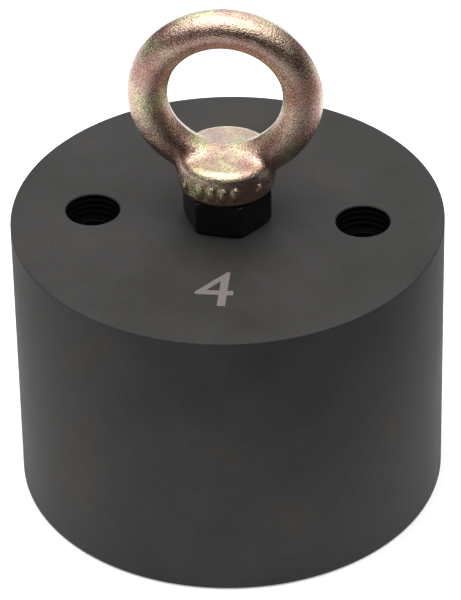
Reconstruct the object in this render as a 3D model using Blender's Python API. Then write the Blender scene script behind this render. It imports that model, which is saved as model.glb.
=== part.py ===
"""Round permanent lifting magnet with a forged eye bolt and two push-off screws.

The working face lies on z = 0 and the eye stands up along +Z. The two release
screws lie on the X axis, and the ring of the eye stands in the XZ plane.
"""

from math import asin, cos, pi, radians, sin, sqrt, tan, tau

import bmesh
import bpy
from mathutils import Matrix

MM = 0.001

# Room between pieces that touch, and the size of broken edges
GAP = 0.3 * MM
EDGE_BREAK = 0.5 * MM
WELD = 0.001 * MM

# Housing: one steel pot, whose rim is the outer pole
BODY_R = 80 * MM
BODY_H = 112 * MM
CAVITY_R = 60 * MM
CAVITY_TOP = 72 * MM
LEDGE_R = 72 * MM
LEDGE_Z = 9.5 * MM
EYE_HOLE_BOTTOM = 86 * MM

# Cover ring that closes the mouth of the pot between the two poles
COVER_Z = (0.5 * MM, 8 * MM)
GASKET_T = 0.9 * MM
COVER_SCREWS = 8
COVER_SCREW_PITCH_R = 66 * MM
M5_R = 2.5 * MM
M5_HEAD_R = 4.6 * MM
M5_HEAD_Z = 0.8 * MM
M5_TIP_Z = 17 * MM
M5_HOLE_TOP = 21 * MM
M5_KEY_AF = 3 * MM
M5_KEY_DEPTH = 2.3 * MM

# Inner pole, magnets and the pin that centres them
NECK_R = 36 * MM
STACK_R = 39.7 * MM
MAGNET_T = 20 * MM
MAGNET_SEGMENTS = 6
PIN_R = 8 * MM
PIN_SEAT_DEPTH = 12 * MM
SEAL_WIRE_R = 1.2 * MM

# Release screws and the push pins under them
RELEASE_X = 50 * MM
RELEASE_HOLE_R = 10 * MM
MOUTH_CHAMFER = 0.45 * MM
SCREW_TOP_DEPTH = 8.7 * MM
SCREW_LEN = 20 * MM
SCREW_KEY_AF = 10 * MM
SCREW_KEY_DEPTH = 10 * MM
PUSH_R = 6 * MM
PUSH_HEAD_R = 9 * MM
PUSH_HEAD_T = 3 * MM
PUSH_TIP_Z = 1.3 * MM
BUSH_WALL = 2.4 * MM
BUSH_LEN = 19.4 * MM

# Lock nut and eye bolt with an M20 thread
THREAD_R = 9.85 * MM
NUT_AF = 29.2 * MM
NUT_CORNER_R = 16.5 * MM
NUT_FACE_R = 13.9 * MM
NUT_H = 14.9 * MM
NUT_TURN = radians(-67)
NUT_CHAMFER_SLOPE = radians(30)
SHANK_LEN = 34.9 * MM
COLLAR_R = 18.2 * MM
COLLAR_SHOULDER = 10.1 * MM
COLLAR_LEDGE_R = 14 * MM
COLLAR_LEDGE = 14.3 * MM
COLLAR_TOP = 15.7 * MM
RING_R = 28.3 * MM
RING_WIRE_R = 7.2 * MM
RING_RISE = 37.7 * MM

# How many flats stand for a circle
STEPS_BODY = 64
STEPS_RING = 48
STEPS_PIN = 24
STEPS_SCREW = 32
STEPS_SMALL = 12
STEPS_SEAL_WIRE = 6
STEPS_EYE_WIRE = 16
STEPS_SEGMENT = 6
STEPS_COLLAR_EDGE = 3

# Heights that follow from the sizes above
POLE_TOP = CAVITY_TOP - 2 * MAGNET_T - 3 * GAP
COLLAR_Z = BODY_H + NUT_H
RING_Z = COLLAR_Z + RING_RISE
SCREW_TOP_Z = BODY_H - SCREW_TOP_DEPTH
PUSH_TOP_Z = SCREW_TOP_Z - SCREW_LEN - GAP


def make_material(name, rgb, roughness, metallic):
    """A Principled material with one colour."""
    made = bpy.data.materials.new(name)
    made.use_nodes = True
    shader = made.node_tree.nodes["Principled BSDF"]
    shader.inputs["Base Color"].default_value = (*rgb, 1.0)
    shader.inputs["Roughness"].default_value = roughness
    shader.inputs["Metallic"].default_value = metallic
    made.diffuse_color = (*rgb, 1.0)
    return made


def turned(profile, steps, closed=True):
    """Spin (radius, height) points round Z. An open profile starts and ends on the axis."""
    bm = bmesh.new()
    corners = [bm.verts.new((r, 0.0, z)) for r, z in profile]
    ends = corners[1:] + corners[:1] if closed else corners[1:]
    edges = [bm.edges.new(pair) for pair in zip(corners, ends)]
    bmesh.ops.spin(bm, geom=corners + edges, cent=(0, 0, 0), axis=(0, 0, 1),
                   angle=tau, steps=steps, use_merge=True)
    bmesh.ops.remove_doubles(bm, verts=bm.verts, dist=WELD)
    bmesh.ops.recalc_face_normals(bm, faces=bm.faces)
    return bm


def tube(inner_r, outer_r, low, high, steps):
    """A plain tube along Z."""
    corners = [(inner_r, low), (outer_r, low), (outer_r, high), (inner_r, high)]
    return turned(corners, steps)


def hoop(ring_r, wire_r, height, steps, wire_steps):
    """A round wire bent to a circle about Z."""
    corners = []
    for step in range(wire_steps):
        angle = tau * step / wire_steps
        corners.append((ring_r + wire_r * cos(angle), height + wire_r * sin(angle)))
    return turned(corners, steps)


def hex_prism(across_flats, low, high):
    """A hexagonal bar along Z with a corner on +X."""
    bm = bmesh.new()
    corner_r = across_flats / sqrt(3)
    bmesh.ops.create_cone(bm, cap_ends=True, segments=6, radius1=corner_r,
                          radius2=corner_r, depth=high - low,
                          matrix=Matrix.Translation((0, 0, (low + high) / 2)))
    return bm


def add_object(name, bm, material, place=(0, 0, 0)):
    """Link a mesh to the scene as one named piece, with its origin at place."""
    mesh = bpy.data.meshes.new(name)
    bm.to_mesh(mesh)
    bm.free()
    mesh.materials.append(material)
    mesh.shade_smooth()
    mesh.set_sharp_from_angle(angle=radians(30))
    piece = bpy.data.objects.new(name, mesh)
    piece.location = place
    bpy.context.collection.objects.link(piece)
    return piece


def add_tool(name, bm, place=(0, 0, 0)):
    """A shape that only cuts or joins another one."""
    tool = bpy.data.objects.new(name, bpy.data.meshes.new(name))
    bm.to_mesh(tool.data)
    bm.free()
    tool.location = place
    tool.display_type = "WIRE"
    tool.hide_render = True
    bpy.context.collection.objects.link(tool)
    return tool


def combine(piece, tool, operation="DIFFERENCE"):
    """Cut, join or trim a piece with a tool."""
    step = piece.modifiers.new(tool.name, "BOOLEAN")
    step.operation = operation
    step.object = tool
    step.solver = "EXACT"


def repeated(bm, places):
    """Copies of one closed shape at several places in the XY plane."""
    result = bmesh.new()
    mesh = bpy.data.meshes.new("pattern")
    bm.to_mesh(mesh)
    bm.free()
    for x, y in places:
        mesh.transform(Matrix.Translation((x, y, 0)))
        result.from_mesh(mesh)
        mesh.transform(Matrix.Translation((-x, -y, 0)))
    bpy.data.meshes.remove(mesh)
    return result


def cover_screw_places():
    """Centres of the cover screws, half a pitch away from the X axis."""
    places = []
    for step in range(COVER_SCREWS):
        angle = tau * (step + 0.5) / COVER_SCREWS
        places.append((COVER_SCREW_PITCH_R * cos(angle), COVER_SCREW_PITCH_R * sin(angle)))
    return places


def release_places():
    """Centres of the two release screws."""
    return [(-RELEASE_X, 0.0), (RELEASE_X, 0.0)]


def build_housing(steel):
    """The pot: open below, with a blind thread for the eye and two through holes."""
    hole_r = THREAD_R + GAP
    profile = [
        (0, CAVITY_TOP), (CAVITY_R, CAVITY_TOP), (CAVITY_R, LEDGE_Z), (LEDGE_R, LEDGE_Z),
        (LEDGE_R, 0), (BODY_R - EDGE_BREAK, 0), (BODY_R, EDGE_BREAK),
        (BODY_R, BODY_H - EDGE_BREAK), (BODY_R - EDGE_BREAK, BODY_H),
        (hole_r + EDGE_BREAK, BODY_H), (hole_r, BODY_H - EDGE_BREAK),
        (hole_r, EYE_HOLE_BOTTOM), (0, EYE_HOLE_BOTTOM),
    ]
    housing = add_object("housing", turned(profile, STEPS_BODY, closed=False), steel)
    over = EDGE_BREAK
    bore = [
        (0, CAVITY_TOP - over), (RELEASE_HOLE_R, CAVITY_TOP - over),
        (RELEASE_HOLE_R, BODY_H - MOUTH_CHAMFER),
        (RELEASE_HOLE_R + MOUTH_CHAMFER + over, BODY_H + over), (0, BODY_H + over),
    ]
    bores = repeated(turned(bore, STEPS_SCREW, closed=False), release_places())
    combine(housing, add_tool("cut_release_holes", bores))
    taps = repeated(drill(M5_R + GAP, LEDGE_Z - over, M5_HOLE_TOP), cover_screw_places())
    combine(housing, add_tool("cut_cover_taps", taps))
    return housing


def drill(radius, low, high):
    """A small round bar along Z, for making holes."""
    return turned([(0, low), (radius, low), (radius, high), (0, high)], STEPS_SMALL,
                  closed=False)


def build_cover(brass, rubber, steel):
    """Cover ring with its gasket, the seal round the inner pole and eight screws."""
    low, high = COVER_Z
    inner = NECK_R + GAP
    outer = LEDGE_R - GAP
    middle = (low + high) / 2
    groove_half = SEAL_WIRE_R + GAP
    groove_r = inner + 2 * SEAL_WIRE_R + GAP
    profile = [
        (inner, low), (outer, low), (outer, high), (inner, high),
        (inner, middle + groove_half), (groove_r, middle + groove_half),
        (groove_r, middle - groove_half), (inner, middle - groove_half),
    ]
    ring = add_object("cover_ring", turned(profile, STEPS_BODY), brass)
    over = EDGE_BREAK
    sink_r = M5_HEAD_R + GAP * sqrt(2) + (M5_HEAD_Z - low)
    sink_top = low + sink_r - (M5_R + GAP)
    countersink = [
        (0, low - over), (sink_r + over, low - over), (M5_R + GAP, sink_top),
        (M5_R + GAP, high + over), (0, high + over),
    ]
    sinks = repeated(turned(countersink, STEPS_SMALL, closed=False), cover_screw_places())
    combine(ring, add_tool("cut_countersinks", sinks))
    seat = high - 2 * SEAL_WIRE_R - 4 * GAP
    seat_r = PUSH_R + BUSH_WALL + 2 * GAP
    pin_hole = [
        (0, low - over), (PUSH_R + GAP, low - over), (PUSH_R + GAP, seat),
        (seat_r, seat), (seat_r, high + over), (0, high + over),
    ]
    pin_holes = repeated(turned(pin_hole, STEPS_PIN, closed=False), release_places())
    combine(ring, add_tool("cut_pin_holes", pin_holes))

    seal = hoop(inner + SEAL_WIRE_R, SEAL_WIRE_R, middle, STEPS_RING, STEPS_SEAL_WIRE)
    add_object("pole_seal", seal, rubber)

    bottom = high + GAP
    gasket = add_object("cover_gasket", tube(CAVITY_R + GAP, outer, bottom,
                                             bottom + GASKET_T, STEPS_BODY), rubber)
    holes = repeated(drill(M5_R + GAP, low, LEDGE_Z), cover_screw_places())
    combine(gasket, add_tool("cut_gasket_holes", holes))
    build_cover_screws(steel)


def build_cover_screws(steel):
    """Countersunk socket screws, heads flush with the cover ring."""
    neck_z = M5_HEAD_Z + M5_HEAD_R - M5_R
    profile = [(0, M5_HEAD_Z), (M5_HEAD_R, M5_HEAD_Z), (M5_R, neck_z),
               (M5_R, M5_TIP_Z), (0, M5_TIP_Z)]
    for number, (x, y) in enumerate(cover_screw_places(), start=1):
        screw = add_object(f"cover_screw_{number}",
                           turned(profile, STEPS_SMALL, closed=False), steel, (x, y, 0))
        socket = hex_prism(M5_KEY_AF, M5_HEAD_Z - EDGE_BREAK, M5_HEAD_Z + M5_KEY_DEPTH)
        combine(screw, add_tool(f"cut_cover_socket_{number}", socket, (x, y, 0)))


def build_core(steel, brass, plating):
    """Inner pole, centring pin and two layers of magnet segments above it."""
    neck_top = COVER_Z[1] + GAP
    seat_r = PIN_R + GAP
    seat_z = POLE_TOP - PIN_SEAT_DEPTH
    profile = [
        (0, 0), (NECK_R - EDGE_BREAK, 0), (NECK_R, EDGE_BREAK), (NECK_R, neck_top),
        (STACK_R, neck_top), (STACK_R, POLE_TOP), (seat_r, POLE_TOP), (seat_r, seat_z),
        (0, seat_z),
    ]
    add_object("pole_piece", turned(profile, STEPS_BODY, closed=False), steel)
    low = seat_z + GAP
    high = CAVITY_TOP - GAP
    pin = [(0, low), (PIN_R, low), (PIN_R, high), (0, high)]
    add_object("centring_pin", turned(pin, STEPS_PIN, closed=False), brass)
    for layer, name in enumerate(("lower", "upper")):
        bottom = POLE_TOP + GAP + layer * (MAGNET_T + GAP)
        stagger = 0.5 * layer
        for number in range(MAGNET_SEGMENTS):
            segment = magnet_segment(bottom, (number + stagger) * tau / MAGNET_SEGMENTS)
            add_object(f"magnet_{name}_{number + 1}", segment, plating)


def magnet_segment(bottom, start):
    """A sector of a thick ring, its two flat sides set back for an even joint."""
    sweep = tau / MAGNET_SEGMENTS
    outline = []
    for radius, back in ((STACK_R, False), (PIN_R + GAP, True)):
        inset = asin(GAP / 2 / radius)
        for step in range(STEPS_SEGMENT + 1):
            share = step / STEPS_SEGMENT
            if back:
                share = 1 - share
            angle = start + inset + (sweep - 2 * inset) * share
            outline.append((radius * cos(angle), radius * sin(angle), bottom))
    bm = bmesh.new()
    face = bm.faces.new([bm.verts.new(point) for point in outline])
    grown = bmesh.ops.extrude_face_region(bm, geom=[face])
    moved = [item for item in grown["geom"] if isinstance(item, bmesh.types.BMVert)]
    bmesh.ops.translate(bm, verts=moved, vec=(0, 0, MAGNET_T))
    bmesh.ops.recalc_face_normals(bm, faces=bm.faces)
    return bm


def build_sleeve(aluminium):
    """Non-magnetic sleeve that fills the pot round the magnets."""
    low = COVER_Z[1] + GAP
    high = CAVITY_TOP - GAP
    sleeve = add_object("spacer_sleeve", tube(STACK_R + GAP, CAVITY_R - GAP, low, high,
                                              STEPS_BODY), aluminium)
    over = EDGE_BREAK
    pocket_r = PUSH_R + BUSH_WALL + 2 * GAP
    pocket_top = low + BUSH_LEN + 2 * GAP
    hole = [
        (0, low - over), (pocket_r, low - over), (pocket_r, pocket_top),
        (PUSH_R + GAP, pocket_top), (PUSH_R + GAP, high + over), (0, high + over),
    ]
    holes = repeated(turned(hole, STEPS_PIN, closed=False), release_places())
    combine(sleeve, add_tool("cut_sleeve_holes", holes))


def build_release(side, x, steel, black, bronze, rubber):
    """One release screw with the push pin, bush and seal below it."""
    place = (x, 0, 0)
    shank_z = PUSH_TOP_Z - PUSH_HEAD_T
    pin = [
        (0, PUSH_TIP_Z), (PUSH_R - EDGE_BREAK, PUSH_TIP_Z),
        (PUSH_R, PUSH_TIP_Z + EDGE_BREAK), (PUSH_R, shank_z), (PUSH_HEAD_R, shank_z),
        (PUSH_HEAD_R, PUSH_TOP_Z), (0, PUSH_TOP_Z),
    ]
    add_object(f"push_pin_{side}", turned(pin, STEPS_PIN, closed=False), steel, place)

    thread_r = RELEASE_HOLE_R - GAP
    bottom = SCREW_TOP_Z - SCREW_LEN
    lead = 2 * EDGE_BREAK
    screw = [
        (0, bottom), (thread_r - lead, bottom), (thread_r, bottom + lead),
        (thread_r, SCREW_TOP_Z - lead), (thread_r - lead, SCREW_TOP_Z), (0, SCREW_TOP_Z),
    ]
    piece = add_object(f"release_screw_{side}", turned(screw, STEPS_SCREW, closed=False),
                       black, place)
    socket = hex_prism(SCREW_KEY_AF, SCREW_TOP_Z - SCREW_KEY_DEPTH, SCREW_TOP_Z + lead)
    combine(piece, add_tool(f"cut_release_socket_{side}", socket, place))

    low = COVER_Z[1] + 2 * GAP
    bush_r = PUSH_R + GAP
    bush = tube(bush_r, bush_r + BUSH_WALL, low, low + BUSH_LEN, STEPS_PIN)
    add_object(f"guide_bush_{side}", bush, bronze, place)

    middle = COVER_Z[1] - SEAL_WIRE_R - 3 * GAP
    seal = hoop(bush_r + SEAL_WIRE_R, SEAL_WIRE_R, middle, STEPS_PIN, STEPS_SEAL_WIRE)
    add_object(f"pin_seal_{side}", seal, rubber, place)


def build_nut(black):
    """Hexagon lock nut, chamfered at both ends."""
    low = BODY_H + GAP
    high = COLLAR_Z - GAP
    prism = hex_prism(NUT_AF, low - GAP, high + GAP)
    bmesh.ops.rotate(prism, verts=prism.verts, matrix=Matrix.Rotation(NUT_TURN, 3, "Z"))
    nut = add_object("lock_nut", prism, black)
    bore_r = THREAD_R + GAP
    drop = (NUT_CORNER_R - NUT_FACE_R) * tan(NUT_CHAMFER_SLOPE)
    blank = [
        (bore_r, low + EDGE_BREAK), (bore_r + EDGE_BREAK, low), (NUT_FACE_R, low),
        (NUT_CORNER_R, low + drop), (NUT_CORNER_R, high - drop), (NUT_FACE_R, high),
        (bore_r + EDGE_BREAK, high), (bore_r, high - EDGE_BREAK),
    ]
    combine(nut, add_tool("trim_nut", turned(blank, STEPS_RING)), "INTERSECT")


def build_eye(zinc):
    """Forged eye bolt: shank, collar and ring as one body."""
    tip = COLLAR_Z - SHANK_LEN
    lead = 2 * EDGE_BREAK
    shoulder = COLLAR_R - COLLAR_LEDGE_R
    rise = COLLAR_LEDGE - COLLAR_SHOULDER
    profile = [(0, tip), (THREAD_R - lead, tip), (THREAD_R, tip + lead),
               (THREAD_R, COLLAR_Z), (COLLAR_R, COLLAR_Z)]
    for step in range(STEPS_COLLAR_EDGE + 1):
        angle = pi / 2 * step / STEPS_COLLAR_EDGE
        profile.append((COLLAR_LEDGE_R + shoulder * cos(angle),
                        COLLAR_Z + COLLAR_SHOULDER + rise * sin(angle)))
    profile.append((0, COLLAR_Z + COLLAR_TOP))
    eye = add_object("eye_bolt", turned(profile, STEPS_SCREW, closed=False), zinc)
    ring = hoop(RING_R, RING_WIRE_R, 0, STEPS_RING, STEPS_EYE_WIRE)
    bmesh.ops.rotate(ring, verts=ring.verts, matrix=Matrix.Rotation(pi / 2, 3, "X"))
    combine(eye, add_tool("join_eye_ring", ring, (0, 0, RING_Z)), "UNION")


def clear_scene():
    """Remove every object of the open scene."""
    for item in list(bpy.data.objects):
        bpy.data.objects.remove(item, do_unlink=True)


def main():
    clear_scene()
    dark_steel = make_material("dark_steel", (0.045, 0.044, 0.043), 0.55, 0.3)
    bright_steel = make_material("ground_steel", (0.52, 0.52, 0.51), 0.35, 1.0)
    black = make_material("black_oxide", (0.012, 0.012, 0.013), 0.4, 0.6)
    zinc = make_material("yellow_zinc", (0.56, 0.44, 0.35), 0.34, 1.0)
    brass = make_material("brass", (0.62, 0.47, 0.20), 0.32, 1.0)
    bronze = make_material("bronze", (0.45, 0.28, 0.13), 0.4, 1.0)
    plating = make_material("nickel_plating", (0.60, 0.58, 0.54), 0.25, 1.0)
    aluminium = make_material("aluminium", (0.72, 0.73, 0.74), 0.4, 1.0)
    rubber = make_material("rubber", (0.02, 0.02, 0.02), 0.8, 0.0)

    build_housing(dark_steel)
    build_cover(brass, rubber, bright_steel)
    build_core(bright_steel, brass, plating)
    build_sleeve(aluminium)
    for side, (x, _) in zip(("left", "right"), release_places()):
        build_release(side, x, bright_steel, black, bronze, rubber)
    build_nut(black)
    build_eye(zinc)


main()
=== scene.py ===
# %% [markdown]
# # A round lifting magnet with a ring eye bolt
#
# The object is a heavy steel pot, 160 mm across, with magnets inside. It is carried by a
# forged eye bolt that is locked with a hexagon nut. Two deep holes in its top give a key
# access to the release screws, which push the load off the face. This lesson builds its
# looks around a fixed frame: the frame gives every piece its place and its motion, and
# the cells below give each visible piece its fine shape and its finish.

# %% Load the frame
from math import cos, pi, radians, sin, tan, tau

import bpy
import numpy as np
from mathutils import Matrix, Quaternion, Vector


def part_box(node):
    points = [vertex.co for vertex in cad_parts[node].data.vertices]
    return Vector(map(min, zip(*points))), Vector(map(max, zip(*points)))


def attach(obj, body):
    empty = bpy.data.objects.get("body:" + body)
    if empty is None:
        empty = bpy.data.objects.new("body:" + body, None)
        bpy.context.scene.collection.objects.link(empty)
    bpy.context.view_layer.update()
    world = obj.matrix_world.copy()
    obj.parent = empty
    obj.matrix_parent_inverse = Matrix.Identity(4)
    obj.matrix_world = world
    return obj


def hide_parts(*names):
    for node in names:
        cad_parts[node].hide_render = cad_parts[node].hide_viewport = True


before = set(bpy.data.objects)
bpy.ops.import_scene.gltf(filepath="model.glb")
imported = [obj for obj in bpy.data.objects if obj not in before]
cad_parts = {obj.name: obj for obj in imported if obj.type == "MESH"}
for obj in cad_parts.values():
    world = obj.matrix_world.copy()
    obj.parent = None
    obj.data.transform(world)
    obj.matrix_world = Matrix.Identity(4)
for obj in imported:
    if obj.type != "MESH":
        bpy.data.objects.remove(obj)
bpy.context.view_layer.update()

# %% [markdown]
# ## Sizes from the frame
#
# Every size that the frame can give is read from it, so the pieces fit by themselves. The
# few that it can't give, such as a key size or a thread pitch, are the standard ones for
# an M20 or M5 thread. ROOM is the gap that the frame leaves between pieces that meet.

# %% Sizes
MM = 0.001
ROOM = 0.3 * MM


def reach(node):
    """Half the width of a node along X: the radius of a round one on the axis."""
    low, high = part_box(node)
    return (high.x - low.x) / 2


def heights(node):
    """The lowest and the highest point of a node."""
    low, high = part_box(node)
    return low.z, high.z


BODY_R = reach("housing")
BODY_TOP = heights("housing")[1]
COVER_LOW, COVER_HIGH = heights("cover_ring")
NECK_R = 36 * MM
MOUTH_R = reach("cover_ring") + ROOM
HOLE_X = (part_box("release_screw_right")[0].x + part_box("release_screw_right")[1].x) / 2
HOLE_R = reach("release_screw_right") + ROOM
SCREW_TOP = heights("release_screw_right")[1]
NUT_TOP = heights("lock_nut")[1] + ROOM
RING_OUT = reach("eye_bolt")
RING_WIRE = 7.2 * MM
RING_R = RING_OUT - RING_WIRE
RING_Z = heights("eye_bolt")[1] - RING_OUT
COLLAR_R = (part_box("eye_bolt")[1].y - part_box("eye_bolt")[0].y) / 2
print(f"body {BODY_R * 2:.3f} m across, {BODY_TOP:.3f} m high; ring centre at {RING_Z:.4f} m")

# %% [markdown]
# ## The camera
#
# A long lens from 1.56 m keeps the sides of the cylinder nearly parallel. It looks down at
# 36 degrees, so the top face and the front both show.

# %% Camera
AZIMUTH = radians(6.3)
ELEVATION = radians(35.94)
ROLL = radians(-1.15)
DISTANCE = 1.56
AIM = Vector((0.0005, 0.0, 0.0734))

sight = Vector((sin(AZIMUTH) * cos(ELEVATION), -cos(AZIMUTH) * cos(ELEVATION), sin(ELEVATION)))
camera = bpy.data.objects.new("camera", bpy.data.cameras.new("camera"))
camera.data.lens = 250.5
camera.data.sensor_width = 36
camera.data.clip_end = 20
camera.location = AIM + DISTANCE * sight
turn_to = (-sight).to_track_quat("-Z", "Y") @ Quaternion((0, 0, 1), ROLL)
camera.rotation_euler = turn_to.to_euler()
bpy.context.collection.objects.link(camera)
bpy.context.scene.camera = camera
print("camera at", tuple(round(c, 3) for c in camera.location))

# %% [markdown]
# ## Small helpers
#
# Blender stores colours in linear light, while a colour picker shows sRGB, so one function
# turns a hex value into linear light. Another adds a node to a material with its settings
# and links in one line, which keeps each material short.


# %% Colour and node helpers
def colour(hex_value):
    """A hex sRGB colour as linear light, with alpha 1."""
    channels = [int(hex_value[i:i + 2], 16) / 255 for i in (1, 3, 5)]
    linear = [c / 12.92 if c <= 0.04045 else ((c + 0.055) / 1.055) ** 2.4 for c in channels]
    return (*linear, 1.0)


def add(tree, kind, inputs=None, **settings):
    """Adds one node. An input is a value, or an output to link to it."""
    node = tree.nodes.new(kind)
    for name, value in settings.items():
        setattr(node, name, value)
    for name, value in (inputs or {}).items():
        if isinstance(value, bpy.types.NodeSocket):
            tree.links.new(value, node.inputs[name])
        else:
            node.inputs[name].default_value = value
    return node


def new_material(name):
    """A material with one Principled shader: (material, its tree, the shader)."""
    made = bpy.data.materials.new(name)
    made.use_nodes = True
    tree = made.node_tree
    return made, tree, tree.nodes["Principled BSDF"]


def ramp(tree, factor, stops):
    """A colour ramp whose stops are (position, hex colour)."""
    made = add(tree, "ShaderNodeValToRGB", {"Fac": factor})
    points = made.color_ramp.elements
    while len(points) < len(stops):
        points.new(0.5)
    for point, (position, hex_value) in zip(points, stops):
        point.position = position
        point.color = colour(hex_value)
    return made.outputs["Color"]


def grey_ramp(tree, factor, low, high, bottom=0.0, top=1.0):
    """Maps a factor from low..high to bottom..top."""
    made = add(tree, "ShaderNodeMapRange", {"Value": factor, "From Min": low, "From Max": high,
                                            "To Min": bottom, "To Max": top})
    return made.outputs["Result"]


# %% [markdown]
# ## Modelling helpers
#
# Nearly every piece of this magnet is turned on a lathe. A turned piece starts as one
# circle, which is extruded and scaled from corner to corner of its profile. Holes are cut
# with a second solid, and a Bevel modifier breaks the edges, because no real edge is
# perfectly sharp and the thin bright line on it is what makes metal look like metal.


# %% Modelling helpers
def nothing_selected():
    """Leaves edit mode and deselects every object."""
    if bpy.context.object and bpy.context.object.mode != "OBJECT":
        bpy.ops.object.mode_set(mode="OBJECT")
    bpy.ops.object.select_all(action="DESELECT")


def settle(name):
    """Names the object at hand and moves its place into its mesh."""
    piece = bpy.context.object
    piece.name = name
    piece.data.name = name
    bpy.ops.object.transform_apply(location=True, rotation=True, scale=True)
    return piece


def turned(name, profile, steps=128, centre=(0, 0), closed=False):
    """Turns a profile of (radius, height) points. An open one is capped at both ends."""
    nothing_selected()
    radius, height = profile[0]
    bpy.ops.mesh.primitive_circle_add(vertices=steps, radius=radius,
                                      location=(*centre, height))
    piece = settle(name)
    bpy.ops.object.mode_set(mode="EDIT")
    bpy.ops.mesh.select_all(action="SELECT")
    rest = profile[1:] + profile[:1] if closed else profile[1:]
    for next_radius, next_height in rest:
        bpy.ops.mesh.extrude_region_move(
            TRANSFORM_OT_translate={"value": (0, 0, next_height - height)})
        grow = next_radius / radius
        bpy.ops.transform.resize(value=(grow, grow, 1), center_override=(*centre, next_height))
        radius, height = next_radius, next_height
    bpy.ops.mesh.select_all(action="SELECT")
    if closed:
        bpy.ops.mesh.remove_doubles(threshold=0.00001)
    else:
        bpy.ops.mesh.select_non_manifold()
        bpy.ops.mesh.edge_face_add()
        bpy.ops.mesh.select_all(action="SELECT")
    bpy.ops.mesh.normals_make_consistent(inside=False)
    bpy.ops.object.mode_set(mode="OBJECT")
    return piece


def modify(piece, kind, **settings):
    """Adds a modifier with its settings and applies it."""
    nothing_selected()
    piece.select_set(True)
    bpy.context.view_layer.objects.active = piece
    step = piece.modifiers.new(kind.title(), kind)
    for name, value in settings.items():
        setattr(step, name, value)
    bpy.ops.object.modifier_apply(modifier=step.name)


def cut(piece, tool, operation="DIFFERENCE"):
    """Cuts, joins or trims a piece with a tool, which is used up."""
    modify(piece, "BOOLEAN", object=tool, operation=operation, solver="EXACT")
    bpy.data.objects.remove(tool)


def break_edges(piece, width, segments=2, angle=30):
    """Rounds the sharp edges, then shades the piece smooth up to them."""
    modify(piece, "BEVEL", width=width, segments=segments, limit_method="ANGLE",
           angle_limit=radians(angle), harden_normals=False)
    smooth(piece)


def smooth(piece, angle=30):
    """Shades a piece smooth, with sharp edges only where the surface really turns."""
    nothing_selected()
    piece.select_set(True)
    bpy.context.view_layer.objects.active = piece
    bpy.ops.object.shade_smooth_by_angle(angle=radians(angle))


def finished(piece, material, body, slot, *nodes):
    """Gives a piece its material, the body it moves with and the nodes it stands for."""
    piece.data.materials.clear()
    piece.data.materials.append(material)
    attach(piece, body)
    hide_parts(*nodes)
    print(f"{piece.name}: {len(piece.data.polygons)} faces")


# %% [markdown]
# ## The pot
#
# The pot is turned from one round bar and blackened. It could be a primitive cylinder, but
# a turned profile gives the recess and the cavity of its underside in the same go. The two
# holes are drilled through afterwards, and a small chamfer at each mouth keeps the edge
# from cutting a hand.

# %% Pot shape
LEDGE = 9.5 * MM
CAVITY_R = 60 * MM
CAVITY_TOP = 72 * MM
EYE_HOLE_R = 10.15 * MM
EDGE = 0.5 * MM
MOUTH = 0.45 * MM
COVER_SCREW_PLACES = [(66 * MM * cos(angle), 66 * MM * sin(angle))
                      for angle in (tau * (step + 0.5) / 8 for step in range(8))]

pot = turned("pot", [
    (EYE_HOLE_R, 86 * MM), (EYE_HOLE_R, BODY_TOP), (BODY_R, BODY_TOP), (BODY_R, 0),
    (MOUTH_R, 0), (MOUTH_R, LEDGE), (CAVITY_R, LEDGE), (CAVITY_R, CAVITY_TOP),
], steps=256)
break_edges(pot, EDGE, segments=3)
for x in (-HOLE_X, HOLE_X):
    drill = turned("drill", [
        (HOLE_R, CAVITY_TOP - MM), (HOLE_R, BODY_TOP - MOUTH),
        (HOLE_R + MOUTH + MM, BODY_TOP + MM),
    ], steps=96, centre=(x, 0))
    cut(pot, drill)
for x, y in COVER_SCREW_PLACES:
    cut(pot, turned("tap", [(2.8 * MM, LEDGE - MM), (2.8 * MM, 21 * MM)], steps=24,
                    centre=(x, y)))
smooth(pot)

# %% [markdown]
# ## Blackened steel
#
# Turned steel that has been blackened in a hot salt bath is a very dark, slightly warm
# grey. The lathe leaves fine grooves, in circles on the end faces and in hoops round the
# side, so the light is drawn out across them. The bath never takes quite evenly, which
# gives soft cloudy patches and, where the oxide is thin, a trace of brown.

# %% Blackened steel
WAVES_PER_SCALE = 0.314


def lathe_marks(tree, place, spacing):
    """Fine grooves round Z: hoops on upright faces and circles on flat ones."""
    settings = {"Vector": place, "Scale": WAVES_PER_SCALE / spacing, "Distortion": 0.4}
    hoops = add(tree, "ShaderNodeTexWave", settings, bands_direction="Z")
    circles = add(tree, "ShaderNodeTexWave", settings, wave_type="RINGS", rings_direction="Z")
    return add(tree, "ShaderNodeMath", {0: hoops.outputs["Fac"], 1: circles.outputs["Fac"]},
               operation="ADD").outputs["Value"]


def bumped(tree, shader, height, depth, strength=1.0):
    """Lets a height pattern tilt the surface, as if it were depth metres deep."""
    bump = add(tree, "ShaderNodeBump", {"Height": height, "Strength": strength,
                                        "Distance": depth})
    tree.links.new(bump.outputs["Normal"], shader.inputs["Normal"])


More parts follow.
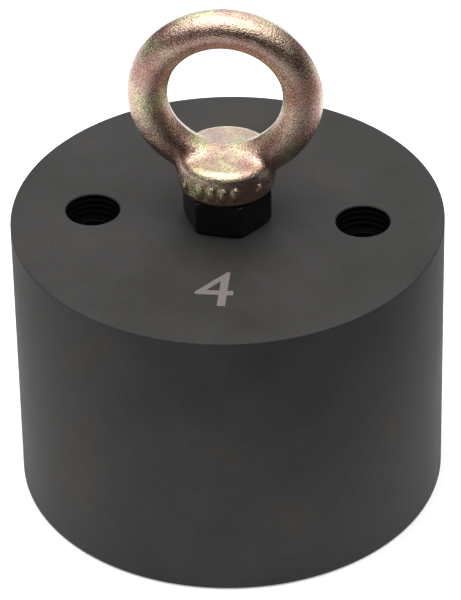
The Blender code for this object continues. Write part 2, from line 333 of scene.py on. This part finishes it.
def blackened_steel():
    """Turned mild steel, blackened and lightly oiled, with a ground working face."""
    made, tree, shader = new_material("blackened_steel")
    place = add(tree, "ShaderNodeTexCoord").outputs["Object"]
    clouds = add(tree, "ShaderNodeTexNoise", {"Vector": place, "Scale": 1 / (38 * MM),
                                              "Detail": 5.0, "Roughness": 0.6})
    grain = add(tree, "ShaderNodeTexNoise", {"Vector": place, "Scale": 1 / (1.1 * MM),
                                             "Detail": 3.0, "Roughness": 0.6})
    base = ramp(tree, clouds.outputs["Fac"], [
        (0.30, "#282725"), (0.58, "#353433"), (0.74, "#40382f")])
    speck = grey_ramp(tree, grain.outputs["Fac"], 0.35, 0.75, 0.86, 1.12)
    mottled = add(tree, "ShaderNodeMix", {"Factor": 1.0, "A": base, "B": speck},
                  data_type="RGBA", blend_type="MULTIPLY")
    split = add(tree, "ShaderNodeSeparateXYZ", {"Vector": place}).outputs
    height = split["Z"]
    beside = add(tree, "ShaderNodeMath", {0: split["X"]}, operation="ABSOLUTE").outputs["Value"]
    across = add(tree, "ShaderNodeMath", {0: beside, 1: HOLE_X}, operation="SUBTRACT")
    from_axis = add(tree, "ShaderNodeCombineXYZ", {"X": across.outputs["Value"],
                                                   "Y": split["Y"]}).outputs["Vector"]
    reach_out = add(tree, "ShaderNodeVectorMath", {0: from_axis}, operation="LENGTH")
    in_hole = add(tree, "ShaderNodeMath", {0: reach_out.outputs["Value"],
                                           1: HOLE_R + 0.1 * MM}, operation="LESS_THAN")
    in_hole = in_hole.outputs["Value"]
    ground = add(tree, "ShaderNodeMath", {0: height, 1: 0.2 * MM},
                 operation="LESS_THAN").outputs["Value"]
    coat = add(tree, "ShaderNodeMix", {"Factor": ground, "A": mottled.outputs["Result"],
                                       "B": colour("#a3a19d")}, data_type="RGBA")
    # Painted shade: the walls of the two holes are painted near black, standing in for the
    # shade deep inside them.
    hole_painted_shade = add(tree, "ShaderNodeMix", {"Factor": in_hole, "A": coat.outputs["Result"],
                                         "B": colour("#0a0a0a")}, data_type="RGBA")
    tree.links.new(hole_painted_shade.outputs["Result"], shader.inputs["Base Color"])
    tree.links.new(ground, shader.inputs["Metallic"])
    tree.links.new(grey_ramp(tree, clouds.outputs["Fac"], 0.3, 0.7, 0.56, 0.68),
                   shader.inputs["Roughness"])
    rough = add(tree, "ShaderNodeMath", {0: lathe_marks(tree, place, 0.9 * MM), 1: 0.25,
                                         2: grain.outputs["Fac"]}, operation="MULTIPLY_ADD")
    turns = add(tree, "ShaderNodeTexWave", {"Vector": place,
                                            "Scale": WAVES_PER_SCALE / (2.5 * MM)},
                bands_direction="Z")
    thread = add(tree, "ShaderNodeMath", {0: turns.outputs["Fac"], 1: in_hole},
                 operation="MULTIPLY").outputs["Value"]
    relief = add(tree, "ShaderNodeMath", {0: thread, 1: 60.0, 2: rough.outputs["Value"]},
                 operation="MULTIPLY_ADD")
    bumped(tree, shader, relief.outputs["Value"], 0.02 * MM, 0.35)
    # Painted shade: the holes also get a lower specular level, so they read darker.
    tree.links.new(grey_ramp(tree, in_hole, 0, 1, 0.2, 0.12),
                   shader.inputs["Specular IOR Level"])
    return made


steel_black = blackened_steel()
finished(pot, steel_black, "pot", "housing", "housing")

# %% [markdown]
# ## The number on the top
#
# Magnets like this one are marked on top by a laser, which burns the black layer away and
# leaves pale bare steel, level with the surface. A plain figure stands for the marking. It
# is a text object made into a very thin plate, which keeps its outline crisp at any size.

# %% Number
MARK_HEIGHT = 21 * MM
MARK_Y = -46.5 * MM
MARK_DEPTH = 0.04 * MM


def etched_number(figure):
    """A flat numeral that lies on the top of the pot."""
    nothing_selected()
    bpy.ops.object.text_add(location=(0, 0, 0))
    text = bpy.context.object
    text.data.body = figure
    text.data.size = 1.43 * MARK_HEIGHT
    text.data.extrude = MARK_DEPTH / 2
    text.data.resolution_u = 12
    bpy.ops.object.convert(target="MESH")
    number = settle("etched_number")
    modify(number, "WELD", merge_threshold=0.01 * MM)
    corners = np.array([v.co for v in number.data.vertices])
    middle = (corners.min(0) + corners.max(0)) / 2
    number.data.transform(Matrix.Translation(
        (-middle[0], MARK_Y - middle[1], BODY_TOP + MARK_DEPTH / 2)))
    return number


def etched_steel():
    """Bare steel that a laser has laid open in fine dots."""
    made, tree, shader = new_material("laser_etched_steel")
    place = add(tree, "ShaderNodeTexCoord").outputs["Object"]
    dots = add(tree, "ShaderNodeTexNoise", {"Vector": place, "Scale": 1 / (0.8 * MM),
                                            "Detail": 2.0})
    tree.links.new(ramp(tree, dots.outputs["Fac"], [(0.3, "#655f5c"), (0.7, "#756e6b")]),
                   shader.inputs["Base Color"])
    bumped(tree, shader, dots.outputs["Fac"], 0.02 * MM, 0.3)
    shader.inputs["Roughness"].default_value = 0.6
    return made


number = etched_number("4")
finished(number, etched_steel(), "pot", "housing")

# %% [markdown]
# ## The eye bolt
#
# The eye is drop forged: ring, collar and shank are squeezed from one bar between two
# dies. So the ring doesn't just cross the collar, it flows into it with a wide soft
# fillet. Here a torus and a turned collar are joined and remeshed into one skin, and the
# skin is then smoothed only where the two meet. A thin ridge along the middle of the ring
# is left by the joint between the dies. A row of worn oval bosses on the front of the
# collar stands for the forged marking.

# %% Eye bolt shape
COLLAR_EDGE_Z = NUT_TOP + 10.1 * MM
COLLAR_LEDGE_R = 14 * MM
COLLAR_LEDGE_Z = NUT_TOP + 14.2 * MM
COLLAR_CROWN_Z = NUT_TOP + 15.5 * MM
SHANK_R = 9.85 * MM
SKIN = 0.45 * MM
FILLET_REACH = 6 * MM
RIDGE_WIDTH = 0.8 * MM
RIDGE_HEIGHT = 0.18 * MM
BOSS_THICK = 4 * MM
BOSS_SINK = 0.6 * MM
BOSS_Z = NUT_TOP + 6.2 * MM
BOSSES = [(-47, 2.4, 5.4), (-26, 4.0, 6.4), (-12, 3.8, 6.8), (2, 4.0, 6.4), (16, 3.8, 6.6),
          (45, 2.6, 5.2)]


def quarter_turn(inner, low, outer, high, steps=8):
    """Points of a rounded shoulder, from its outer side up to its inner top."""
    points = []
    for step in range(steps + 1):
        angle = pi / 2 * step / steps
        points.append((inner + (outer - inner) * cos(angle), low + (high - low) * sin(angle)))
    return points


def from_ring(point):
    """Distance from a point to the surface of the ring."""
    out = Vector((point.x, point.z - RING_Z)).length - RING_R
    return Vector((out, point.y)).length - RING_WIRE


def from_collar(point):
    """Distance from a point to the outside of the collar, less than 0 inside it."""
    radius = Vector((point.x, point.y)).length
    return max(radius - COLLAR_R, point.z - COLLAR_CROWN_Z)


def fillet_weight(point):
    """1 where ring and collar meet, fading to 0 away from there."""
    share = 1 - max(abs(from_ring(point)), from_collar(point)) / FILLET_REACH
    share = min(max(share, 0), 1)
    return share * share * (3 - 2 * share)


def soften(piece, weight, rounds):
    """Smooths a piece where weight(point) says, and nowhere else."""
    group = piece.vertex_groups.new(name="soft")
    for vertex in piece.data.vertices:
        amount = weight(vertex.co)
        if amount > 0:
            group.add([vertex.index], amount, "REPLACE")
    modify(piece, "SMOOTH", vertex_group="soft", factor=0.8, iterations=rounds)
    piece.vertex_groups.clear()


def join(*pieces):
    """Makes several objects into one, under the first one's name."""
    nothing_selected()
    for piece in pieces:
        piece.select_set(True)
    bpy.context.view_layer.objects.active = pieces[0]
    bpy.ops.object.join()
    return pieces[0]


def raised_bosses():
    """Worn raised marks on the front of the collar, as plain oval bosses.

    BOSSES holds the angle of each from the front in degrees, and its width and height in
    millimetres.
    """
    bosses = []
    for number, (degrees, wide, tall) in enumerate(BOSSES):
        nothing_selected()
        angle = radians(degrees - 90)
        out = Vector((cos(angle), sin(angle), 0)) * (COLLAR_R - BOSS_SINK)
        bpy.ops.mesh.primitive_uv_sphere_add(
            segments=32, ring_count=20, radius=0.5, rotation=(0, 0, angle),
            location=out + Vector((0, 0, BOSS_Z)),
            scale=(BOSS_THICK, wide * MM, tall * MM))
        bosses.append(settle(f"boss_{number}"))
    return bosses


def eye_bolt():
    """The forged ring and collar as one skin."""
    nothing_selected()
    bpy.ops.mesh.primitive_torus_add(major_segments=160, minor_segments=64,
                                     major_radius=RING_R, minor_radius=RING_WIRE,
                                     location=(0, 0, RING_Z), rotation=(pi / 2, 0, 0))
    ring = settle("forged_eye")
    shoulder = quarter_turn(COLLAR_LEDGE_R, COLLAR_EDGE_Z, COLLAR_R, COLLAR_LEDGE_Z)
    collar = turned("collar", [
        (SHANK_R, NUT_TOP - MM), (SHANK_R, NUT_TOP), (COLLAR_R - 2.6 * MM, NUT_TOP),
        (COLLAR_R - 1.3 * MM, NUT_TOP + 0.5 * MM), (COLLAR_R - 0.4 * MM, NUT_TOP + 1.4 * MM),
        (COLLAR_R, NUT_TOP + 2.8 * MM), *shoulder, (5 * MM, COLLAR_CROWN_Z)])
    eye = join(ring, collar, *raised_bosses())
    modify(eye, "REMESH", mode="VOXEL", voxel_size=SKIN)
    soften(eye, fillet_weight, 160)
    add_ridge(eye)
    smooth(eye, 60)
    return eye


def add_ridge(eye):
    """Raises the thin line that the joint of the dies leaves round the ring."""
    for vertex in eye.data.vertices:
        point = vertex.co
        close = abs(from_ring(point)) < 0.5 * MM and point.z > COLLAR_LEDGE_Z
        if close and abs(point.y) < 3 * RIDGE_WIDTH:
            rise = RIDGE_HEIGHT * 2.718 ** (-(point.y / RIDGE_WIDTH) ** 2)
            point += vertex.normal * rise


eye = eye_bolt()

# %% [markdown]
# ## Yellow zinc
#
# The forging is galvanised and then dipped in a yellow chromate bath. The film is so thin
# that its colour comes from how thick it is, as on a soap bubble: it drifts from straw
# yellow to pink and pale green within a few millimetres. Faces that point up are also
# painted a little paler and yellower, a painted highlight from the overhead light.
# Underneath, the blasted forging skin is rough like fine sandpaper, so highlights break
# up into small sparkles, and its low spots are painted darker as painted shade.

# %% Yellow zinc


def yellow_zinc():
    """Blasted forging, zinc plated and yellow passivated."""
    made, tree, shader = new_material("yellow_passivated_zinc")
    place = add(tree, "ShaderNodeTexCoord").outputs["Object"]
    film = add(tree, "ShaderNodeTexNoise", {"Vector": place, "Scale": 1 / (14 * MM),
                                            "Detail": 3.0, "Roughness": 0.5})
    # Partly painted highlight: the noise gives the film's own colour drift, and faces that
    # point up are pushed toward the paler yellow end of the ramp, standing in for the overhead
    # light on them.
    facing = add(tree, "ShaderNodeTexCoord").outputs["Normal"]
    upward_painted_sheen = add(tree, "ShaderNodeSeparateXYZ", {"Vector": facing}).outputs["Z"]
    film_tone_and_painted_sheen = add(tree, "ShaderNodeMath", {0: upward_painted_sheen, 1: 0.1, 2: film.outputs["Fac"]},
                    operation="MULTIPLY_ADD").outputs["Value"]
    base = ramp(tree, film_tone_and_painted_sheen, [
        (0.34, "#bd9080"), (0.46, "#c7a294"), (0.55, "#d2b79f"), (0.63, "#dccfa8"),
        (0.74, "#d2d3a6")])
    blast = add(tree, "ShaderNodeTexNoise", {"Vector": place, "Scale": 1 / (0.65 * MM),
                                             "Detail": 3.0, "Roughness": 0.65})
    # Painted shade: the base colour is darkened where the blast grain is low, standing in for
    # the shade in its fine pits.
    pits = grey_ramp(tree, blast.outputs["Fac"], 0.38, 0.52, 0.55, 1.0)
    speckled = add(tree, "ShaderNodeMix", {"Factor": 1.0, "A": base, "B": pits},
                   data_type="RGBA", blend_type="MULTIPLY")
    tree.links.new(speckled.outputs["Result"], shader.inputs["Base Color"])
    lumps = add(tree, "ShaderNodeTexNoise", {"Vector": place, "Scale": 1 / (4 * MM),
                                             "Detail": 2.0})
    height = add(tree, "ShaderNodeMath", {0: lumps.outputs["Fac"], 1: 0.8,
                                          2: blast.outputs["Fac"]},
                 operation="MULTIPLY_ADD")
    bumped(tree, shader, height.outputs["Value"], 0.28 * MM)
    tree.links.new(grey_ramp(tree, blast.outputs["Fac"], 0.3, 0.7, 0.24, 0.16),
                   shader.inputs["Roughness"])
    shader.inputs["Coat Weight"].default_value = 0.5
    shader.inputs["Coat Roughness"].default_value = 0.2
    shader.inputs["Metallic"].default_value = 1.0
    return made


zinc = yellow_zinc()
finished(eye, zinc, "eye", "eye", "eye_bolt")

# %% [markdown]
# ## The thread of the eye
#
# The shank below the collar is an M20 thread, 2.5 mm from crest to crest. It only shows
# when the eye is backed off a little, but a plain rod would look wrong there. A Screw
# modifier sweeps one tooth of the thread up its helix, and both ends are capped.

# %% Thread
PITCH = 2.5 * MM
THREAD_DEPTH = 1.3 * MM
SHANK_END = heights("eye_bolt")[0]


def helix_rod(name, radius, low, high, steps=48):
    """A threaded rod between two heights."""
    turns = int((high - low) / PITCH) + 3
    root = radius - THREAD_DEPTH
    tooth = [(root, 0), (root, 0.12), (radius, 0.44), (radius, 0.56), (root, 0.88), (root, 1)]
    nothing_selected()
    mesh = bpy.data.meshes.new(name)
    corners = [(r, 0, low - PITCH * 1.5 + share * PITCH) for r, share in tooth]
    mesh.from_pydata(corners, [(i, i + 1) for i in range(len(corners) - 1)], [])
    rod = bpy.data.objects.new(name, mesh)
    bpy.context.collection.objects.link(rod)
    modify(rod, "SCREW", angle=tau, screw_offset=PITCH, iterations=turns, steps=steps,
           render_steps=steps, use_merge_vertices=True, merge_threshold=0.00001)
    bpy.ops.object.mode_set(mode="EDIT")
    bpy.ops.mesh.select_all(action="SELECT")
    bpy.ops.mesh.remove_doubles(threshold=0.00001)
    bpy.ops.mesh.select_all(action="DESELECT")
    bpy.ops.mesh.select_mode(type="EDGE")
    bpy.ops.mesh.select_non_manifold()
    bpy.ops.mesh.edge_face_add()
    bpy.ops.mesh.select_all(action="SELECT")
    bpy.ops.mesh.normals_make_consistent(inside=False)
    bpy.ops.object.mode_set(mode="OBJECT")
    return rod


thread = helix_rod("eye_thread", SHANK_R, SHANK_END, NUT_TOP)
finished(thread, zinc, "eye", "eye")

# %% [markdown]
# ## The lock nut
#
# A nut is a slice of hexagonal bar. Its corners are turned off to a cone at both ends,
# which leaves the curved bright edges that every nut has. The cone is made here as a
# second, turned solid, and the nut is what the bar and that solid have in common.

# %% Lock nut shape
ACROSS_FLATS = 29.2 * MM
NUT_CORNER_R = 16.6 * MM
NUT_FACE_R = 13.9 * MM
NUT_TURN = radians(-67)
CONE = radians(30)


def hexagon_bar(name, across_flats, low, high, turn=0.0, centre=(0, 0)):
    """A piece of hexagonal bar with a corner at the angle turn from +X."""
    nothing_selected()
    bpy.ops.mesh.primitive_cylinder_add(
        vertices=6, radius=across_flats / 2 / cos(pi / 6), depth=high - low,
        location=(*centre, (low + high) / 2), rotation=(0, 0, turn + pi / 2))
    return settle(name)


def lock_nut():
    """An M20 nut, chamfered at both ends."""
    nut = hexagon_bar("hexagon_nut", ACROSS_FLATS, BODY_TOP, NUT_TOP, NUT_TURN)
    drop = (NUT_CORNER_R - NUT_FACE_R) * tan(CONE)
    blank = turned("blank", [
        (10.2 * MM, BODY_TOP + MM), (11.2 * MM, BODY_TOP - 0.01 * MM),
        (NUT_FACE_R, BODY_TOP - 0.01 * MM), (NUT_CORNER_R, BODY_TOP + drop),
        (NUT_CORNER_R, NUT_TOP - drop), (NUT_FACE_R, NUT_TOP + 0.01 * MM),
        (11.2 * MM, NUT_TOP + 0.01 * MM), (10.2 * MM, NUT_TOP - MM),
    ], steps=180, closed=True)
    cut(nut, blank, "INTERSECT")
    return nut


nut = lock_nut()

# %% [markdown]
# ## Black oxide
#
# Nuts and set screws of high strength are blackened and left with a film of oil. The
# surface is nearly black, smoother than the blackened pot, and its edges catch a cool
# grey light.

# %% Black oxide


def black_oxide(name, gloss):
    """Blackened high-strength steel, from oiled at gloss 0.5 to dry and dull at 0.1."""
    made, tree, shader = new_material(name)
    place = add(tree, "ShaderNodeTexCoord").outputs["Object"]
    grain = add(tree, "ShaderNodeTexNoise", {"Vector": place, "Scale": 1 / (0.9 * MM),
                                             "Detail": 3.0})
    patch = add(tree, "ShaderNodeTexNoise", {"Vector": place, "Scale": 1 / (7 * MM),
                                             "Detail": 2.0})
    tree.links.new(ramp(tree, patch.outputs["Fac"], [(0.3, "#040506"), (0.75, "#08090a")]),
                   shader.inputs["Base Color"])
    tree.links.new(grey_ramp(tree, grain.outputs["Fac"], 0.3, 0.7, 0.25, 0.29),
                   shader.inputs["Roughness"])
    bumped(tree, shader, grain.outputs["Fac"], 0.01 * MM, 0.1)
    shader.inputs["Specular IOR Level"].default_value = gloss
    return made


oxide = black_oxide("black_oxide_steel", 0.5)
break_edges(nut, 0.2 * MM, segments=2, angle=25)
finished(nut, oxide, "nut", "black", "lock_nut")

# %% [markdown]
# ## The release screws
#
# Each hole holds a headless M20 screw with a 10 mm hexagon socket, set well below the
# face so that nothing sticks out.

# %% Release screws
SCREW_BOTTOM = heights("release_screw_right")[0]
KEY_AF = 10 * MM
KEY_DEPTH = 10 * MM


def release_screw(side, x):
    """A headless screw with a hexagon socket in its top."""
    radius = HOLE_R - ROOM
    screw = turned(f"set_screw_{side}", [
        (radius - 1.2 * MM, SCREW_BOTTOM), (radius, SCREW_BOTTOM + 1.2 * MM),
        (radius, SCREW_TOP - 1.2 * MM), (radius - 1.2 * MM, SCREW_TOP),
    ], steps=96, centre=(x, 0))
    cut(screw, hexagon_bar("key", KEY_AF, SCREW_TOP - KEY_DEPTH, SCREW_TOP + MM,
                           centre=(x, 0)))
    break_edges(screw, 0.15 * MM)
    return screw


dull_oxide = black_oxide("dull_black_steel", 0.08)
for side, x in (("left", -HOLE_X), ("right", HOLE_X)):
    finished(release_screw(side, x), dull_oxide, f"screw_{side}", "black",
             f"release_screw_{side}")

# %% [markdown]
# ## The push pins
#
# Under each release screw stands a ground pin with a wide head. Its tip ends just short of
# the working face, and turning the screws presses both pins out, which frees the load.

# %% Push pins
PIN_R = 6 * MM
PIN_HEAD_R = reach("push_pin_right")
PIN_HEAD = 3 * MM
PIN_TIP, PIN_TOP = heights("push_pin_right")


def push_pin(side, x):
    """A pin with a chamfered tip and a flat head."""
    pin = turned(f"ground_pin_{side}", [
        (PIN_R - MM, PIN_TIP), (PIN_R, PIN_TIP + MM), (PIN_R, PIN_TOP - PIN_HEAD),
        (PIN_HEAD_R, PIN_TOP - PIN_HEAD), (PIN_HEAD_R, PIN_TOP),
    ], steps=96, centre=(x, 0))
    break_edges(pin, 0.25 * MM)
    return pin


def worked_metal(name, dark, light, roughness, spacing):
    """A bare metal with lathe marks and a slightly uneven tone."""
    made, tree, shader = new_material(name)
    place = add(tree, "ShaderNodeTexCoord").outputs["Object"]
    tone = add(tree, "ShaderNodeTexNoise", {"Vector": place, "Scale": 1 / (16 * MM),
                                            "Detail": 6.0, "Roughness": 0.6})
    tree.links.new(ramp(tree, tone.outputs["Fac"], [(0.32, dark), (0.68, light)]),
                   shader.inputs["Base Color"])
    tree.links.new(grey_ramp(tree, tone.outputs["Fac"], 0.3, 0.7, roughness,
                             roughness + 0.1), shader.inputs["Roughness"])
    bumped(tree, shader, lathe_marks(tree, place, spacing), 0.02 * MM, 0.4)
    shader.inputs["Metallic"].default_value = 1.0
    return made


ground_steel = worked_metal("ground_steel", "#9a9894", "#aeaca8", 0.25, 0.5 * MM)
for side, x in (("left", -HOLE_X), ("right", HOLE_X)):
    finished(push_pin(side, x), ground_steel, f"pin_{side}", "pin", f"push_pin_{side}")

# %% [markdown]
# ## The inner pole
#
# The magnetic field runs from the rim of the pot, through the load, and back into this
# thick steel disc in the middle. Its neck reaches down to the working face.

# %% Inner pole
POLE_R = reach("pole_piece")
POLE_TOP = heights("pole_piece")[1]
POLE_STEP = COVER_HIGH + ROOM

inner_pole = turned("inner_pole", [
    (NECK_R, 0), (NECK_R, POLE_STEP), (POLE_R, POLE_STEP), (POLE_R, POLE_TOP),
    (8.3 * MM, POLE_TOP), (8.3 * MM, POLE_TOP - 12 * MM),
], steps=192)
break_edges(inner_pole, 0.4 * MM)
finished(inner_pole, ground_steel, "pot", "pole", "pole_piece")

# %% [markdown]
# ## The closing ring and its screws
#
# A brass ring closes the pot between its rim and the inner pole. Steel there would lead the
# field straight across from one pole to the other, and brass doesn't. Eight countersunk
# M5 screws hold it, and one hole on each side lets a push pin through.

# %% Closing ring
SEAL = 2.4 * MM
SINK_R = 5.3 * MM
TAP_R = 2.8 * MM


def closing_ring():
    """A flat ring with a groove for the seal, countersinks and two pin holes."""
    inner = NECK_R + ROOM
    outer = reach("cover_ring")
    middle = (COVER_LOW + COVER_HIGH) / 2
    groove = SEAL / 2 + ROOM
    ring = turned("closing_ring", [
        (inner, COVER_LOW), (outer, COVER_LOW), (outer, COVER_HIGH), (inner, COVER_HIGH),
        (inner, middle + groove), (inner + SEAL + ROOM, middle + groove),
        (inner + SEAL + ROOM, middle - groove), (inner, middle - groove),
    ], steps=192, closed=True)
    break_edges(ring, 0.3 * MM)
    for place in COVER_SCREW_PLACES:
        cut(ring, turned("sink", [
            (SINK_R + MM, COVER_LOW - MM), (TAP_R, COVER_LOW + SINK_R - TAP_R),
            (TAP_R, COVER_HIGH + MM)], steps=48, centre=place))
    seat = COVER_HIGH - SEAL - 1.2 * MM
    for x in (-HOLE_X, HOLE_X):
        cut(ring, turned("pin_hole", [
            (PIN_R + ROOM, COVER_LOW - MM), (PIN_R + ROOM, seat),
            (9 * MM, seat), (9 * MM, COVER_HIGH + MM)], steps=96, centre=(x, 0)))
    smooth(ring)
    return ring


brass = worked_metal("turned_brass", "#b08d55", "#c4a266", 0.28, 0.6 * MM)
finished(closing_ring(), brass, "pot", "cover", "cover_ring")

# %% [markdown]
# ## The closing screws
#
# The eight screws are the same, so one is made on the axis and the others are copies of
# it. Each has its own mesh, because each stands for its own node of the frame.

# %% Closing screws
HEAD_Z, TIP_Z = heights("cover_screw_1")


def countersunk_screw():
    """An M5 countersunk screw on the Z axis, head down, with a 3 mm hexagon socket."""
    screw = turned("countersunk_screw_1", [
        (4.6 * MM, HEAD_Z), (2.5 * MM, HEAD_Z + 2.1 * MM), (2.5 * MM, TIP_Z - 0.5 * MM),
        (2 * MM, TIP_Z)], steps=48)
    cut(screw, hexagon_bar("key", 3 * MM, HEAD_Z - MM, HEAD_Z + 2.3 * MM))
    break_edges(screw, 0.12 * MM)
    return screw


def copies(first, places):
    """The first piece and a copy of it for each further place, each with its own mesh."""
    made = [first]
    for number, place in enumerate(places[1:], start=2):
        copy = first.copy()
        copy.data = first.data.copy()
        copy.name = f"countersunk_screw_{number}"
        bpy.context.collection.objects.link(copy)
        made.append(copy)
    for piece, (x, y) in zip(made, places):
        piece.data.transform(Matrix.Translation((x, y, 0)))
    return made


stainless = worked_metal("stainless_steel", "#a5a4a2", "#b7b6b4", 0.22, 0.3 * MM)
for number, screw in enumerate(copies(countersunk_screw(), COVER_SCREW_PLACES), start=1):
    finished(screw, stainless, "pot", "screw", f"cover_screw_{number}")

# %% [markdown]
# ## The pieces inside
#
# Magnets, sleeve, bushes and seals are out of sight, so they keep the plain shape that the
# frame gives them and only get a finish. It shows when a piece is taken out on its own.

# %% Finish of the inner pieces


def soft_rubber():
    """Black rubber with a fine moulded grain."""
    made, tree, shader = new_material("black_rubber")
    place = add(tree, "ShaderNodeTexCoord").outputs["Object"]
    grain = add(tree, "ShaderNodeTexNoise", {"Vector": place, "Scale": 1 / (0.5 * MM),
                                             "Detail": 3.0})
    tree.links.new(ramp(tree, grain.outputs["Fac"], [(0.3, "#151515"), (0.7, "#1d1d1d")]),
                   shader.inputs["Base Color"])
    bumped(tree, shader, grain.outputs["Fac"], 0.05 * MM, 0.5)
    shader.inputs["Roughness"].default_value = 0.7
    return made


def nickel_plate():
    """Bright nickel on pressed magnet blocks, a little pitted."""
    made, tree, shader = new_material("nickel_plate")
    place = add(tree, "ShaderNodeTexCoord").outputs["Object"]
    pits = add(tree, "ShaderNodeTexVoronoi", {"Vector": place, "Scale": 1 / (1.5 * MM)})
    tone = add(tree, "ShaderNodeTexNoise", {"Vector": place, "Scale": 1 / (9 * MM),
                                            "Detail": 4.0})
    tree.links.new(ramp(tree, tone.outputs["Fac"], [(0.3, "#a8a294"), (0.7, "#bdb8ab")]),
                   shader.inputs["Base Color"])
    bumped(tree, shader, pits.outputs["Distance"], 0.03 * MM, 0.3)
    shader.inputs["Metallic"].default_value = 1.0
    shader.inputs["Roughness"].default_value = 0.3
    return made


aluminium = worked_metal("turned_aluminium", "#b5b7b9", "#c9cacc", 0.3, 0.7 * MM)
bronze = worked_metal("sintered_bronze", "#8f6b45", "#a88055", 0.4, 0.4 * MM)
rubber = soft_rubber()
nickel = nickel_plate()
finishes = {"magnet": nickel, "spacer": aluminium, "guide": bronze, "centring": brass,
            "pin_seal": rubber, "pole_seal": rubber, "cover_gasket": rubber}
for name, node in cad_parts.items():
    for start, made in finishes.items():
        if name.startswith(start):
            node.data.materials.clear()
            node.data.materials.append(made)
            print(name, made.name)

# %% [markdown]
# ## The studio
#
# Three soft lights: two overhead and one behind, which draws the outline of the dark
# cylinder. The pale floor is given a faint painted glow, so that it stays white behind the
# object, and its colour is painted dark toward the front as painted shade. The metal
# mirrors that dark part as a dark band, which makes its round shape easy to read.

# %% Floor and light


def area_light(name, place, aim, size, power):
    """A rectangular soft light that faces a point."""
    data = bpy.data.lights.new(name, "AREA")
    data.shape = "RECTANGLE"
    data.size, data.size_y = size
    data.energy = power
    lamp = bpy.data.objects.new(name, data)
    lamp.location = place
    lamp.rotation_euler = (Vector(aim) - Vector(place)).to_track_quat("-Z", "Y").to_euler()
    bpy.context.collection.objects.link(lamp)
    return lamp


def pale_floor():
    """A wide floor under the object, white with a faint painted glow, and painted shade that
    darkens it toward the front.
    """
    nothing_selected()
    bpy.ops.mesh.primitive_plane_add(size=12, location=(0, 0, -0.5 * MM))
    floor = settle("floor")
    made, tree, shader = new_material("white_floor")
    place = add(tree, "ShaderNodeTexCoord").outputs["Object"]
    # Painted shade and painted light: the colour falls from white to dark grey toward the
    # front, and the white part is given a faint emission glow.
    depth = add(tree, "ShaderNodeVectorMath", {0: place, 1: (-0.9, 1.0, 0.0)},
                operation="DOT_PRODUCT").outputs["Value"]
    white = grey_ramp(tree, depth, -0.5, -0.17)
    tree.links.new(ramp(tree, white, [(0.0, "#262626"), (1.0, "#fafafa")]),
                   shader.inputs["Base Color"])
    tree.links.new(grey_ramp(tree, white, 0, 1, 0, 0.25), shader.inputs["Emission Strength"])
    shader.inputs["Emission Color"].default_value = colour("#ffffff")
    shader.inputs["Roughness"].default_value = 0.9
    floor.data.materials.append(made)
    return floor


def studio_world():
    """A dim even light from all round."""
    world = bpy.data.worlds.new("studio")
    world.use_nodes = True
    background = world.node_tree.nodes["Background"]
    background.inputs["Color"].default_value = colour("#ffffff")
    background.inputs["Strength"].default_value = 0.025
    bpy.context.scene.world = world


pale_floor()
studio_world()
area_light("overhead", (0, 0, 1.6), (0, 0, 0), (3.0, 2.5), 42)
area_light("key", (-0.1, -0.15, 1.5), (0, 0, 0.15), (1.5, 0.9), 14)
area_light("back_panel", (0, 2.0, 0.9), (0, 0, 0.08), (2.4, 1.4), 14)
bpy.context.scene.view_settings.view_transform = "Standard"
